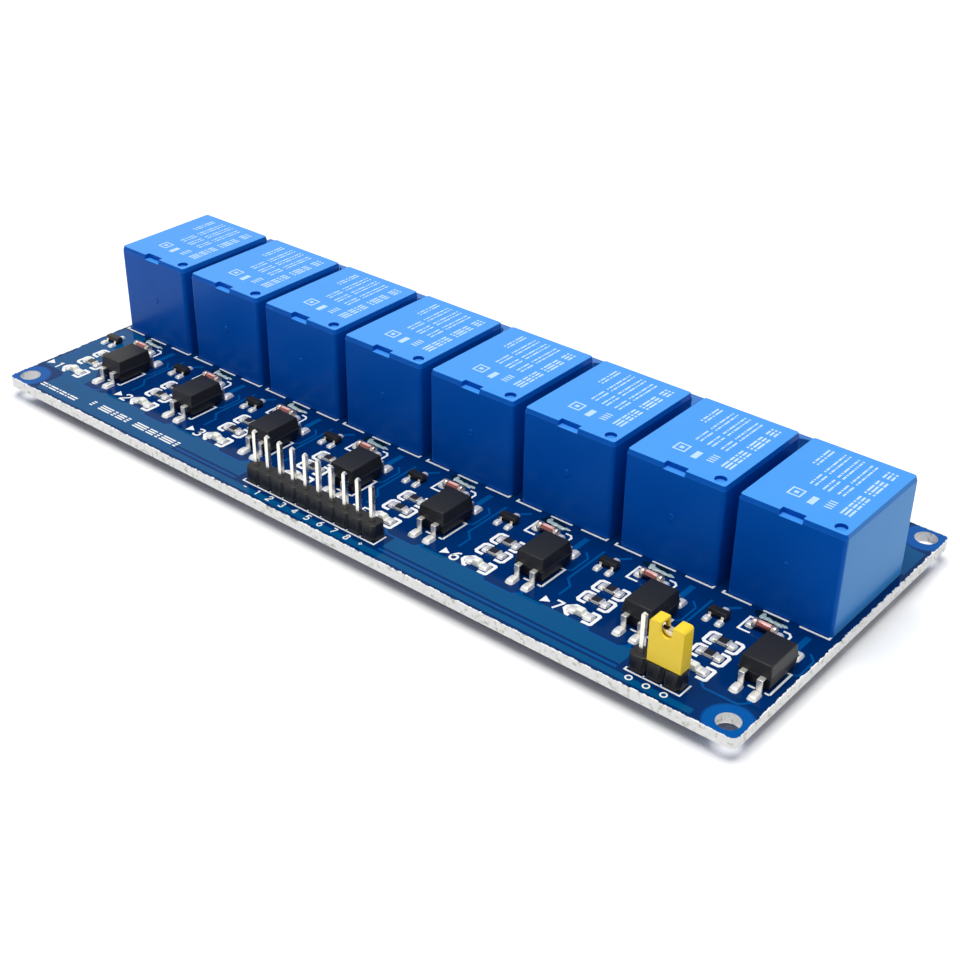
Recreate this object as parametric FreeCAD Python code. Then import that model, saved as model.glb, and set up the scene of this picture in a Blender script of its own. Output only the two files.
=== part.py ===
"""Relay module board: eight opto-isolated relay channels side by side on one long circuit board.

Millimetres. X runs along the board, from the first channel to the last, Y from the control header at the
front to the screw terminals at the back, and Z up. The origin is the centre of the mounting-hole pattern,
on the board's underside. One STEP file is written per sub-part, and a node that holds a group of like
pieces is a compound of separate solids.
"""
import FreeCAD, Part
import math
import os
from FreeCAD import Vector

# Channels
CHANNELS = 8
CHANNEL_PITCH = 17.2

# Circuit board
BOARD_T = 1.6
BOARD_CORNER_R = 1.3
BOARD_END_MARGIN = 1.1
BOARD_REAR_MARGIN = 2.0
MOUNT_HOLE_R = 1.6
MOUNT_HOLE_INSET = 2.5
PIN_HOLE_CLEARANCE = 0.15

# Relay case
RELAY_W = 15.4
RELAY_D = 19.1
RELAY_H = 15.3
RELAY_TOP_CHAMFER = 0.35
RELAY_SIDE_CHAMFER = 0.3
LATCH_W = 3.3
LATCH_DEPTH = 1.0
LATCH_DROP = 0.8
LATCH_X = -0.35
VENT_R = 0.8
VENT_DEPTH = 0.9
VENT_FROM_SIDE = 2.1
VENT_FROM_FRONT = 1.55

# Relay pins: two for the coil and the common pin near the front, two contacts at the back
RELAY_PIN_W = 1.0
RELAY_PIN_T = 0.5
RELAY_PIN_SPREAD = 12.0
RELAY_COMMON_FROM_FRONT = 2.4
RELAY_COIL_FROM_FRONT = 4.4
RELAY_CONTACT_FROM_BACK = 2.5
PIN_TAIL = 2.0

# Screw terminals
POLES = 3
POLE_PITCH = 5.08
TERMINAL_D = 8.0
TERMINAL_H = 10.0
TERMINAL_GAP = 2.5
TERMINAL_SLOPE_D = 2.4
TERMINAL_SLOPE_H = 2.6
TERMINAL_FLOOR = 1.4
CHAMBER_CLEARANCE = 0.1
CHAMBER_BACK_WALL = 0.8
CAGE_W = 3.6
CAGE_D = 4.0
CAGE_H = 4.2
CAGE_WALL = 0.5
CONTACT_PIN_W = 0.9
SCREW_R = 1.7
SCREW_HOLE_CLEARANCE = 0.15
SCREW_RECESS = 1.5
SCREW_SLOT_DEPTH = 0.8

# Optocouplers, four leads bent down to the board
OPTO_W = 4.6
OPTO_L = 6.5
OPTO_H = 3.5
OPTO_STANDOFF = 0.2
OPTO_SEAM = 1.7
OPTO_TAPER = 0.22
OPTO_SPAN = 10.2
OPTO_LEAD_PITCH = 2.54
OPTO_LEAD_W = 0.8
OPTO_LEAD_T = 0.25
OPTO_SHOULDER = 0.95
OPTO_RESISTOR_GAP = 3.9
OPTO_DIODE_GAP = 1.27

# Flyback diodes, round glass bodies with metal ends
DIODE_R = 0.68
DIODE_L = 3.5
DIODE_X = 0.4
DIODE_RELAY_GAP = 3.37

# Transistors, three leads
TRANSISTOR_W = 2.9
TRANSISTOR_D = 1.3
TRANSISTOR_H = 1.0
TRANSISTOR_STANDOFF = 0.08
TRANSISTOR_TAPER = 0.12
TRANSISTOR_SPAN = 2.5
TRANSISTOR_LEAD_PITCH = 1.9
TRANSISTOR_LEAD_W = 0.42
TRANSISTOR_LEAD_T = 0.12
TRANSISTOR_FOOT = 0.35
TRANSISTOR_RESISTOR_GAP = 1.05
TRANSISTOR_RELAY_GAP = 3.85

# Chip resistors and indicator lights, one column per channel
COLUMN_X = -2.2
RESISTOR_L = 2.0
RESISTOR_W = 1.25
RESISTOR_H = 0.5
RESISTOR_ROW_PITCH = 3.15
RESISTOR_RELAY_GAP = 8.9
LED_L = 2.0
LED_W = 1.25
LED_BASE_H = 0.35
LED_LENS_L = 1.2
LED_LENS_H = 0.5
LED_LENS_TAPER = 0.15
LED_RESISTOR_GAP = 2.25

# Pin headers
HEADER_PITCH = 2.54
HEADER_W = 2.5
HEADER_H = 2.54
HEADER_NOTCH = 0.45
HEADER_PIN_W = 0.64
HEADER_PIN_FIT = 0.02
HEADER_PIN_RISE = 5.8
HEADER_PIN_TAIL = 1.4
HEADER_PIN_POINT = 0.35
HEADER_EDGE = 4.1
HEADER_OPTO_GAP = 2.85
CONTROL_POLES = CHANNELS + 2
CONTROL_X = -3.1
JUMPER_POLES = 3
JUMPER_FROM_END = 13.5

# Jumper cap, pushed on the two poles of the jumper header next to the board's end
CAP_W = 4.9
CAP_D = 2.15
CAP_H = 6.2
CAP_CORNER_R = 0.45
CAP_NOTCH_W = 1.6
CAP_NOTCH_DEPTH = 1.85
CAP_WALL = 0.4
CAP_ROOF_CLEARANCE = 0.1
CAP_LIFT = 0.05
CLIP_CLEARANCE = 0.1
CLIP_T = 0.2
CLIP_WEB = 0.6
CLIP_SINK = 1.1

# Round forms that repeat are made with this many sides
ROUND_SIDES = 12
VENT_SIDES = 8

# Places worked out from the sizes above
BOARD_L = (CHANNELS - 1) * CHANNEL_PITCH + RELAY_W + 2 * BOARD_END_MARGIN
FRONT_STRIP = (HEADER_EDGE + HEADER_W / 2 + HEADER_OPTO_GAP + OPTO_SPAN + OPTO_DIODE_GAP
               + 2 * DIODE_R + DIODE_RELAY_GAP)
BOARD_W = FRONT_STRIP + RELAY_D + TERMINAL_GAP + TERMINAL_D + BOARD_REAR_MARGIN
BOARD_FRONT = -BOARD_W / 2
RELAY_FRONT = BOARD_FRONT + FRONT_STRIP
RELAY_BACK = RELAY_FRONT + RELAY_D
TERMINAL_FRONT = RELAY_BACK + TERMINAL_GAP
TERMINAL_BACK = TERMINAL_FRONT + TERMINAL_D
DIODE_Y = RELAY_FRONT - DIODE_RELAY_GAP - DIODE_R
OPTO_Y = DIODE_Y - DIODE_R - OPTO_DIODE_GAP - OPTO_SPAN / 2
OPTO_X = COLUMN_X + RESISTOR_L / 2 + OPTO_RESISTOR_GAP + OPTO_W / 2
TRANSISTOR_X = COLUMN_X - RESISTOR_L / 2 - TRANSISTOR_RESISTOR_GAP - TRANSISTOR_W / 2
TRANSISTOR_Y = RELAY_FRONT - TRANSISTOR_RELAY_GAP - TRANSISTOR_SPAN / 2
RESISTOR_Y = RELAY_FRONT - RESISTOR_RELAY_GAP - RESISTOR_W / 2
LED_Y = RESISTOR_Y - RESISTOR_ROW_PITCH - RESISTOR_W / 2 - LED_RESISTOR_GAP - LED_W / 2
HEADER_Y = BOARD_FRONT + HEADER_EDGE
TERMINAL_W = POLES * POLE_PITCH
CAGE_Y = TERMINAL_FRONT + CHAMBER_BACK_WALL + CHAMBER_CLEARANCE + CAGE_D / 2
CAGE_BOTTOM = BOARD_T + TERMINAL_FLOOR
CAGE_TOP = CAGE_BOTTOM + CAGE_H
JUMPER_X = BOARD_L / 2 - JUMPER_FROM_END
CAP_X = JUMPER_X + HEADER_PITCH / 2
CAP_BOTTOM = BOARD_T + HEADER_H + CAP_LIFT

os.makedirs("parts", exist_ok=True)


def write(name, solids):
    """Write one node: a single solid as it is, and a group of solids as a compound."""
    solids = list(solids)
    shape = solids[0] if len(solids) == 1 else Part.makeCompound(solids)
    shape.exportStep(f"parts/{name}.step")


def channel_x(index):
    """Centre of a channel, and of its relay, along the board."""
    return (index - (CHANNELS - 1) / 2) * CHANNEL_PITCH


def block(x0, x1, y0, y1, z0, z1):
    """Box between two opposite corners."""
    return Part.makeBox(x1 - x0, y1 - y0, z1 - z0, Vector(x0, y0, z0))


def centred_block(x, y, width, depth, z0, z1):
    """Box standing on z0, centred on x and y."""
    return block(x - width / 2, x + width / 2, y - depth / 2, y + depth / 2, z0, z1)


def prism(points, along):
    """Solid swept from a closed outline of points along a vector."""
    outline = Part.makePolygon(points + [points[0]])
    return Part.Face(outline).extrude(along)


def tapered_block(x, y, low, high, z0, z1):
    """Box whose plan changes evenly from the low (width, depth) at z0 to the high one at z1."""
    low_x, low_y = low[0] / 2, low[1] / 2
    high_x, high_y = high[0] / 2, high[1] / 2
    wedge = Part.makeWedge(-low_x, 0, -low_y, -high_y, -high_x, low_x, z1 - z0, low_y, high_y, high_x)
    wedge.rotate(Vector(), Vector(1, 0, 0), 90)
    wedge.translate(Vector(x, y, z0))
    return wedge


def round_outline(radius, sides=ROUND_SIDES):
    """Corners of the many-sided outline of a small round piece, with flats across both its axes."""
    half_step = math.pi / sides
    angles = [half_step * (2 * side + 1) for side in range(sides)]
    return [(radius * math.cos(angle), radius * math.sin(angle)) for angle in angles]


def upright_round(x, y, radius, z0, z1, sides=ROUND_SIDES):
    """Small round piece or hole standing on z0."""
    corners = [Vector(x + a, y + b, z0) for a, b in round_outline(radius, sides)]
    return prism(corners, Vector(0, 0, z1 - z0))


def edges_at(shape, test):
    """Edges of a shape whose ends all pass a test on their position."""
    return [edge for edge in shape.Edges if all(test(vertex.Point) for vertex in edge.Vertexes)]


def relay_pin_places(x):
    """Plan positions of one relay's five pins, and whether each lies along X."""
    coil_y = RELAY_FRONT + RELAY_COIL_FROM_FRONT
    contact_y = RELAY_BACK - RELAY_CONTACT_FROM_BACK
    half = RELAY_PIN_SPREAD / 2
    return [
        (x, RELAY_FRONT + RELAY_COMMON_FROM_FRONT, True),
        (x - half, coil_y, False),
        (x + half, coil_y, False),
        (x - half, contact_y, True),
        (x + half, contact_y, True),
    ]


def pole_places(index):
    """Centres of one terminal block's poles along the board."""
    centre = (index - (CHANNELS - 1) / 2) * TERMINAL_W
    return [centre + (pole - (POLES - 1) / 2) * POLE_PITCH for pole in range(POLES)]


def header_places(centre, poles):
    """Centres of a header's pins along the board."""
    return [centre + (pole - (poles - 1) / 2) * HEADER_PITCH for pole in range(poles)]


def circuit_board():
    """Board with rounded corners, four mounting holes and a hole for every pin that passes through it."""
    board = centred_block(0, 0, BOARD_L, BOARD_W, 0, BOARD_T)
    corners = edges_at(board, lambda p: abs(abs(p.x) - BOARD_L / 2) < 1e-6)
    upright = [edge for edge in corners if abs(edge.Length - BOARD_T) < 1e-6]
    board = board.makeFillet(BOARD_CORNER_R, upright)
    cuts = []
    for side_x in (-1, 1):
        for side_y in (-1, 1):
            place = Vector(side_x * (BOARD_L / 2 - MOUNT_HOLE_INSET),
                           side_y * (BOARD_W / 2 - MOUNT_HOLE_INSET), 0)
            cuts.append(Part.makeCylinder(MOUNT_HOLE_R, BOARD_T, place))
    gap = 2 * PIN_HOLE_CLEARANCE
    for channel in range(CHANNELS):
        for x, y, along_x in relay_pin_places(channel_x(channel)):
            width, depth = relay_pin_plan(along_x)
            cuts.append(centred_block(x, y, width + gap, depth + gap, 0, BOARD_T))
        for x in pole_places(channel):
            side = CONTACT_PIN_W + gap
            cuts.append(centred_block(x, CAGE_Y, side, side, 0, BOARD_T))
    for x in header_places(CONTROL_X, CONTROL_POLES) + header_places(JUMPER_X, JUMPER_POLES):
        side = HEADER_PIN_W + gap
        cuts.append(centred_block(x, HEADER_Y, side, side, 0, BOARD_T))
    return board.cut(cuts)


def relay_pin_plan(along_x):
    """Width and depth of a relay pin in plan, turned along X or along Y."""
    return (RELAY_PIN_W, RELAY_PIN_T) if along_x else (RELAY_PIN_T, RELAY_PIN_W)


def relay_case(x):
    """Closed relay case with bevelled edges, a latch recess and a vent."""
    y = RELAY_FRONT + RELAY_D / 2
    top = BOARD_T + RELAY_H
    case = centred_block(x, y, RELAY_W, RELAY_D, BOARD_T, top)
    upright = [edge for edge in case.Edges
               if abs(edge.Vertexes[0].Point.z - edge.Vertexes[1].Point.z) > RELAY_H / 2]
    case = case.makeChamfer(RELAY_SIDE_CHAMFER, upright)
    case = case.makeChamfer(RELAY_TOP_CHAMFER, edges_at(case, lambda p: p.z > top - 1e-6))
    latch = block(x + LATCH_X - LATCH_W / 2, x + LATCH_X + LATCH_W / 2,
                  RELAY_FRONT, RELAY_FRONT + LATCH_DEPTH, top - LATCH_DROP, top)
    vent = upright_round(x + RELAY_W / 2 - VENT_FROM_SIDE, RELAY_FRONT + VENT_FROM_FRONT,
                         VENT_R, top - VENT_DEPTH, top, VENT_SIDES)
    return case.cut([latch, vent])


def relay_pins():
    """Every relay pin, from the underside of its case to below the board."""
    for channel in range(CHANNELS):
        for x, y, along_x in relay_pin_places(channel_x(channel)):
            width, depth = relay_pin_plan(along_x)
            yield centred_block(x, y, width, depth, -PIN_TAIL, BOARD_T)


def terminal_block(index):
    """Three-pole terminal housing: sloped wire side, a chamber per pole, and a screw hole over each."""
    poles = pole_places(index)
    x0 = poles[0] - POLE_PITCH / 2
    top = BOARD_T + TERMINAL_H
    slope_y = TERMINAL_BACK - TERMINAL_SLOPE_D
    outline = [
        (TERMINAL_FRONT, BOARD_T),
        (TERMINAL_BACK, BOARD_T),
        (TERMINAL_BACK, top - TERMINAL_SLOPE_H),
        (slope_y, top),
        (TERMINAL_FRONT, top),
    ]
    housing = prism([Vector(x0, y, z) for y, z in outline], Vector(TERMINAL_W, 0, 0))
    cuts = []
    half = CAGE_W / 2 + CHAMBER_CLEARANCE
    chamber_front = TERMINAL_FRONT + CHAMBER_BACK_WALL
    chamber_top = CAGE_TOP + CHAMBER_CLEARANCE
    pin_side = CONTACT_PIN_W + 2 * CHAMBER_CLEARANCE
    for x in poles:
        cuts.append(block(x - half, x + half, chamber_front, TERMINAL_BACK, CAGE_BOTTOM, chamber_top))
        cuts.append(upright_round(x, CAGE_Y, SCREW_R + SCREW_HOLE_CLEARANCE, chamber_top, top))
        cuts.append(centred_block(x, CAGE_Y, pin_side, pin_side, BOARD_T, CAGE_BOTTOM))
    return housing.cut(cuts)


def terminal_contacts():
    """Wire cage of every pole, open towards the back, with the pin that goes through the board."""
    for channel in range(CHANNELS):
        for x in pole_places(channel):
            cage = centred_block(x, CAGE_Y, CAGE_W, CAGE_D, CAGE_BOTTOM, CAGE_TOP)
            wire_way = centred_block(x, CAGE_Y, CAGE_W - 2 * CAGE_WALL, CAGE_D,
                                     CAGE_BOTTOM + CAGE_WALL, CAGE_TOP - CAGE_WALL)
            pin = centred_block(x, CAGE_Y, CONTACT_PIN_W, CONTACT_PIN_W, -PIN_TAIL, CAGE_BOTTOM)
            yield cage.cut(wire_way).fuse(pin).removeSplitter()


def terminal_screws():
    """Clamping screw of every pole, standing on its cage and sunk in its hole.

    The slot is as wide as one of the head's flats.
    """
    head_top = BOARD_T + TERMINAL_H - SCREW_RECESS
    slot_w = 2 * SCREW_R * math.sin(math.pi / ROUND_SIDES)
    for channel in range(CHANNELS):
        for x in pole_places(channel):
            screw = upright_round(x, CAGE_Y, SCREW_R, CAGE_TOP, head_top)
            slot = centred_block(x, CAGE_Y, slot_w, 2 * SCREW_R, head_top - SCREW_SLOT_DEPTH, head_top)
            yield screw.cut(slot)


def optocoupler(x):
    """Moulded body, widest at the seam where its leads come out."""
    wide = (OPTO_W, OPTO_L)
    slim = (OPTO_W - 2 * OPTO_TAPER, OPTO_L - 2 * OPTO_TAPER)
    bottom = BOARD_T + OPTO_STANDOFF
    seam = bottom + OPTO_SEAM
    lower = tapered_block(x, OPTO_Y, slim, wide, bottom, seam)
    upper = tapered_block(x, OPTO_Y, wide, slim, seam, bottom + OPTO_H)
    return lower.fuse(upper)


def bent_lead(x, y_body, way, z_body):
    """Flat lead that leaves a body level, turns down after its shoulder and ends in a foot on the board."""
    toe = OPTO_Y + way * OPTO_SPAN / 2
    turn = y_body + way * OPTO_SHOULDER
    inner = turn - way * OPTO_LEAD_T
    outline = [
        (y_body, z_body + OPTO_LEAD_T / 2),
        (turn, z_body + OPTO_LEAD_T / 2),
        (turn, BOARD_T + OPTO_LEAD_T),
        (toe, BOARD_T + OPTO_LEAD_T),
        (toe, BOARD_T),
        (inner, BOARD_T),
        (inner, z_body - OPTO_LEAD_T / 2),
        (y_body, z_body - OPTO_LEAD_T / 2),
    ]
    return prism([Vector(x - OPTO_LEAD_W / 2, y, z) for y, z in outline], Vector(OPTO_LEAD_W, 0, 0))


def optocoupler_leads():
    """Two leads at the front and two at the back of every optocoupler."""
    seam = BOARD_T + OPTO_STANDOFF + OPTO_SEAM
    for channel in range(CHANNELS):
        for side in (-1, 1):
            x = channel_x(channel) + OPTO_X + side * OPTO_LEAD_PITCH / 2
            for way in (-1, 1):
                yield bent_lead(x, OPTO_Y + way * OPTO_L / 2, way, seam)


def transistor(x):
    """Small moulded transistor body, tapered above and below its leads."""
    bottom = BOARD_T + TRANSISTOR_STANDOFF
    middle = bottom + TRANSISTOR_H / 2
    wide = (TRANSISTOR_W, TRANSISTOR_D)
    slim = (TRANSISTOR_W - 2 * TRANSISTOR_TAPER, TRANSISTOR_D - 2 * TRANSISTOR_TAPER)
    lower = tapered_block(x, TRANSISTOR_Y, slim, wide, bottom, middle)
    upper = tapered_block(x, TRANSISTOR_Y, wide, slim, middle, bottom + TRANSISTOR_H)
    return lower.fuse(upper)


def sloping_lead(x, way):
    """Thin lead that slopes from the middle of a transistor's side down to a foot on the board."""
    root = TRANSISTOR_Y + way * TRANSISTOR_D / 2
    toe = TRANSISTOR_Y + way * TRANSISTOR_SPAN / 2
    heel = toe - way * TRANSISTOR_FOOT
    middle = BOARD_T + TRANSISTOR_STANDOFF + TRANSISTOR_H / 2
    outline = [
        (root, middle + TRANSISTOR_LEAD_T / 2),
        (heel, BOARD_T + TRANSISTOR_LEAD_T),
        (toe, BOARD_T + TRANSISTOR_LEAD_T),
        (toe, BOARD_T),
        (heel, BOARD_T),
        (root, middle - TRANSISTOR_LEAD_T / 2),
    ]
    return prism([Vector(x - TRANSISTOR_LEAD_W / 2, y, z) for y, z in outline],
                 Vector(TRANSISTOR_LEAD_W, 0, 0))


def transistor_leads():
    """Two leads at the front and one at the back of every transistor."""
    half = TRANSISTOR_LEAD_PITCH / 2
    for channel in range(CHANNELS):
        x = channel_x(channel) + TRANSISTOR_X
        for offset, way in ((-half, -1), (half, -1), (0, 1)):
            yield sloping_lead(x + offset, way)


def flyback_diodes():
    """Round diode of every channel, lying along the board on one of its flats."""
    axis_z = BOARD_T + DIODE_R * math.cos(math.pi / ROUND_SIDES)
    for channel in range(CHANNELS):
        x0 = channel_x(channel) + DIODE_X - DIODE_L / 2
        yield prism([Vector(x0, DIODE_Y + a, axis_z + b) for a, b in round_outline(DIODE_R)],
                    Vector(DIODE_L, 0, 0))


def chip_resistors():
    """Two chip resistors per channel, one behind the other."""
    for channel in range(CHANNELS):
        x = channel_x(channel) + COLUMN_X
        for row in range(2):
            y = RESISTOR_Y - row * RESISTOR_ROW_PITCH
            yield centred_block(x, y, RESISTOR_L, RESISTOR_W, BOARD_T, BOARD_T + RESISTOR_H)


def indicator_led(x):
    """Chip light: a flat base with a tapered lens on it."""
    base_top = BOARD_T + LED_BASE_H
    base = centred_block(x, LED_Y, LED_L, LED_W, BOARD_T, base_top)
    lens = tapered_block(x, LED_Y, (LED_LENS_L, LED_W),
                         (LED_LENS_L - 2 * LED_LENS_TAPER, LED_W - 2 * LED_LENS_TAPER),
                         base_top, base_top + LED_LENS_H)
    return base.fuse(lens)


def header_housing(centre, poles):
    """Moulded strip of eight-sided segments, one per pole, with a square hole for each pin."""
    front = []
    back = []
    half = HEADER_W / 2
    for x in header_places(centre, poles):
        left = x - HEADER_PITCH / 2
        right = x + HEADER_PITCH / 2
        front += [(left, HEADER_NOTCH - half), (left + HEADER_NOTCH, -half), (right - HEADER_NOTCH, -half)]
        back += [(left, half - HEADER_NOTCH), (left + HEADER_NOTCH, half), (right - HEADER_NOTCH, half)]
    front.append((right, HEADER_NOTCH - half))
    back.append((right, half - HEADER_NOTCH))
    outline = front + back[::-1]
    strip = prism([Vector(x, HEADER_Y + y, BOARD_T) for x, y in outline], Vector(0, 0, HEADER_H))
    side = HEADER_PIN_W + 2 * HEADER_PIN_FIT
    return strip.cut([centred_block(x, HEADER_Y, side, side, BOARD_T, BOARD_T + HEADER_H)
                      for x in header_places(centre, poles)])


def header_pins(centre, poles):
    """Square pins with pointed tips, from below the board to above the housing."""
    side = HEADER_PIN_W
    tip = side - HEADER_PIN_POINT
    high = BOARD_T + HEADER_H + HEADER_PIN_RISE
    for x in header_places(centre, poles):
        shaft = centred_block(x, HEADER_Y, side, side, -HEADER_PIN_TAIL, high - HEADER_PIN_POINT)
        point = tapered_block(x, HEADER_Y, (side, side), (tip, tip), high - HEADER_PIN_POINT, high)
        yield shaft.fuse(point).removeSplitter()


def arc_edge(start, middle, end):
    """Arc through three points."""
    return Part.Arc(start, middle, end).toShape()


def jumper_cap():
    """Moulded cap with round corners and a U notch in its top, hollow below for its clip and the pins."""
    front = HEADER_Y - CAP_D / 2
    left = CAP_X - CAP_W / 2
    right = CAP_X + CAP_W / 2
    top = CAP_BOTTOM + CAP_H
    shoulder = top - CAP_CORNER_R
    bend = CAP_CORNER_R * (1 - math.sqrt(0.5))
    notch_r = CAP_NOTCH_W / 2
    notch_left = CAP_X - notch_r
    notch_right = CAP_X + notch_r
    notch_floor = top - CAP_NOTCH_DEPTH
    notch_spring = notch_floor + notch_r

    def at(x, z):
        return Vector(x, front, z)

    outline = Part.Wire([
        Part.makeLine(at(left, CAP_BOTTOM), at(right, CAP_BOTTOM)),
        Part.makeLine(at(right, CAP_BOTTOM), at(right, shoulder)),
        arc_edge(at(right, shoulder), at(right - bend, top - bend), at(right - CAP_CORNER_R, top)),
        Part.makeLine(at(right - CAP_CORNER_R, top), at(notch_right, top)),
        Part.makeLine(at(notch_right, top), at(notch_right, notch_spring)),
        arc_edge(at(notch_right, notch_spring), at(CAP_X, notch_floor), at(notch_left, notch_spring)),
        Part.makeLine(at(notch_left, notch_spring), at(notch_left, top)),
        Part.makeLine(at(notch_left, top), at(left + CAP_CORNER_R, top)),
        arc_edge(at(left + CAP_CORNER_R, top), at(left + bend, top - bend), at(left, shoulder)),
        Part.makeLine(at(left, shoulder), at(left, CAP_BOTTOM)),
    ])
    cap = Part.Face(outline).extrude(Vector(0, CAP_D, 0))
    pin_top = BOARD_T + HEADER_H + HEADER_PIN_RISE
    hollow = centred_block(CAP_X, HEADER_Y, CAP_W - 2 * CAP_WALL, CAP_D - 2 * CAP_WALL,
                           CAP_BOTTOM, pin_top + CAP_ROOF_CLEARANCE)
    return cap.cut(hollow)


def jumper_clip():
    """Sprung clip in the cap: a leaf on each side of the two pins, joined by a web between them."""
    half_w = CAP_W / 2 - CAP_WALL - CLIP_CLEARANCE
    half_d = CAP_D / 2 - CAP_WALL - CLIP_CLEARANCE
    leaf = half_d - CLIP_T
    web = CLIP_WEB / 2
    outline = [
        (-half_w, -half_d), (half_w, -half_d), (half_w, -leaf), (web, -leaf), (web, leaf), (half_w, leaf),
        (half_w, half_d), (-half_w, half_d), (-half_w, leaf), (-web, leaf), (-web, -leaf), (-half_w, -leaf),
    ]
    top = CAP_BOTTOM + CAP_H - CLIP_SINK
    return prism([Vector(CAP_X + x, HEADER_Y + y, CAP_BOTTOM) for x, y in outline],
                 Vector(0, 0, top - CAP_BOTTOM))


write("circuit_board", [circuit_board()])
for number in range(CHANNELS):
    centre_x = channel_x(number)
    write(f"relay_{number + 1}", [relay_case(centre_x)])
    write(f"screw_terminal_{number + 1}", [terminal_block(number)])
    write(f"optocoupler_{number + 1}", [optocoupler(centre_x + OPTO_X)])
    write(f"transistor_{number + 1}", [transistor(centre_x + TRANSISTOR_X)])
    write(f"indicator_led_{number + 1}", [indicator_led(centre_x + COLUMN_X)])
write("relay_pins", relay_pins())
write("terminal_contacts", terminal_contacts())
write("terminal_screws", terminal_screws())
write("optocoupler_leads", optocoupler_leads())
write("transistor_leads", transistor_leads())
write("flyback_diodes", flyback_diodes())
write("chip_resistors", chip_resistors())
write("control_header", [header_housing(CONTROL_X, CONTROL_POLES)])
write("control_header_pins", header_pins(CONTROL_X, CONTROL_POLES))
write("jumper_header", [header_housing(JUMPER_X, JUMPER_POLES)])
write("jumper_header_pins", header_pins(JUMPER_X, JUMPER_POLES))
write("jumper_cap", [jumper_cap()])
write("jumper_clip", [jumper_clip()])
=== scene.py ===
"""Looks of the relay module board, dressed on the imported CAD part.

Sizes are in millimetres and become metres when a mesh is made. X runs along the board, Y from the control
header to the screw terminals, and Z up, with the board's underside at zero.
"""
import math
from functools import partial

import bmesh
import bpy
import numpy as np
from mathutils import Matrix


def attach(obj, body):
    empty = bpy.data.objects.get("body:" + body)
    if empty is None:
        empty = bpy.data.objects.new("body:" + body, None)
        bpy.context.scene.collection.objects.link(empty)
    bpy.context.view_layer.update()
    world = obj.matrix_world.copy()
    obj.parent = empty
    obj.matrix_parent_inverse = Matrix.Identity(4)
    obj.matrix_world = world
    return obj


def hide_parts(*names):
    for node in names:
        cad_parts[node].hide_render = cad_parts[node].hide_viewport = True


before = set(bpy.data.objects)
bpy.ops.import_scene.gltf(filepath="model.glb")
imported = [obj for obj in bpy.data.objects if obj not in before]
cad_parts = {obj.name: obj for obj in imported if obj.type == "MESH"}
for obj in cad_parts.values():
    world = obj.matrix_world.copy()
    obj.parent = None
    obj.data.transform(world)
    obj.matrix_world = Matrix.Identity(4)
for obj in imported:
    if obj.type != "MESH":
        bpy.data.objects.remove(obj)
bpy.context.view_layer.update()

MM = 0.001


def spread(count, pitch):
    """Places of a row of things at one pitch, with the row's middle at zero."""
    return (np.arange(count) - (count - 1) / 2) * pitch


# Board and channels, as in the CAD source
CHANNELS = 8
CHANNEL_PITCH = 17.2
BOARD_T = 1.6
BOARD_L = 138.0
BOARD_W = 56.0
MOUNT_HOLE_INSET = 2.5
BARE_RING_R = 2.9
BARE_RING_END_R = 3.5
RIM_RAGGED = 1.1
RIM_SOUND = 0.4
CENTRES = spread(CHANNELS, CHANNEL_PITCH)

# Relays
RELAY_W = 15.4
RELAY_FRONT = -3.6
RELAY_BACK = 15.5
RELAY_TOP = 16.9
RELAY_CORNER_R = 0.6
RELAY_LIP = 0.62
RELAY_LIP_IN = 0.2
RELAY_PIN_TAIL = 2.0
RELAY_PIN_X = 6.0
# Painted sheen on the row's two end faces: it starts this far in from the row's end, and is full this far in
PAINTED_SHEEN_FROM = 0.8
PAINTED_SHEEN_TO = 0.3
LATCH_X = -0.1
LATCH_W = 3.3
LATCH_DEPTH = 1.0
LATCH_DROP = 0.8
VENT_X = 6.0
VENT_Y = -2.05
VENT_R = 0.83
VENT_DEPTH = 0.55
GATE_Z = 9.3
INK_Z0 = RELAY_TOP - 0.01
INK_Z1 = RELAY_TOP + 0.015

# Small pieces in front of the relays, from the channel's centre
OPTO_X = 5.0
OPTO_Y = -14.7
OPTO_HALF_W = 2.3
OPTO_HALF_L = 3.25
OPTO_SEAM = 1.9
OPTO_LEAD_X = 1.27
OPTO_FOOT_Y = 5.05
TRANSISTOR_X = -5.7
TRANSISTOR_Y = -8.7
TRANSISTOR_LEAD_X = 0.95
TRANSISTOR_FOOT_Y = 1.4
COLUMN_X = -2.2
RESISTOR_ROWS = (-13.125, -16.275)
LED_Y = -19.775
DIODE_X = 0.4
DIODE_Y = -7.65
DIODE_R = 0.68
DIODE_L = 3.5
HEADER_Y = -23.9
HEADER_PITCH = 2.54
CONTROL_X = -3.1
CONTROL_POLES = 10
JUMPER_X = 55.5
JUMPER_POLES = 3
CAP_X = 56.77

# Terminals: a sloped housing with a wire chamber, a screw well and a pin way for each of its poles
TERMINAL_W = 15.24
TERMINAL_FRONT = 18.0
TERMINAL_BACK = 26.0
TERMINAL_TOP = 11.6
TERMINAL_CENTRES = spread(CHANNELS, TERMINAL_W)
POLES = spread(3, 5.08)
SLOPE_DEPTH = 2.4
SLOPE_DROP = 2.6
CHAMBER_HALF_W = 1.9
CHAMBER_FRONT = 18.8
CHAMBER_LOW = 3.0
CHAMBER_HIGH = 7.3
CAGE_Y = 20.9
PIN_WAY_HALF = 0.55
WELL_LOW = 7.1
SHANK_R = 1.5
SCREW_R = 1.7
SCREW_LOW = 7.2
SCREW_NECK = 9.2
SCREW_TOP = 10.1
SCREW_SLOT_LOW = 9.3
SCREW_SLOT_HALF = 0.4


def linear(colour):
    """sRGB hex value to the linear colour that a shader takes."""
    channels = [int(colour[i:i + 2], 16) / 255 for i in (1, 3, 5)]
    return [c / 12.92 if c <= 0.04045 else ((c + 0.055) / 1.055) ** 2.4 for c in channels] + [1.0]


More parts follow.
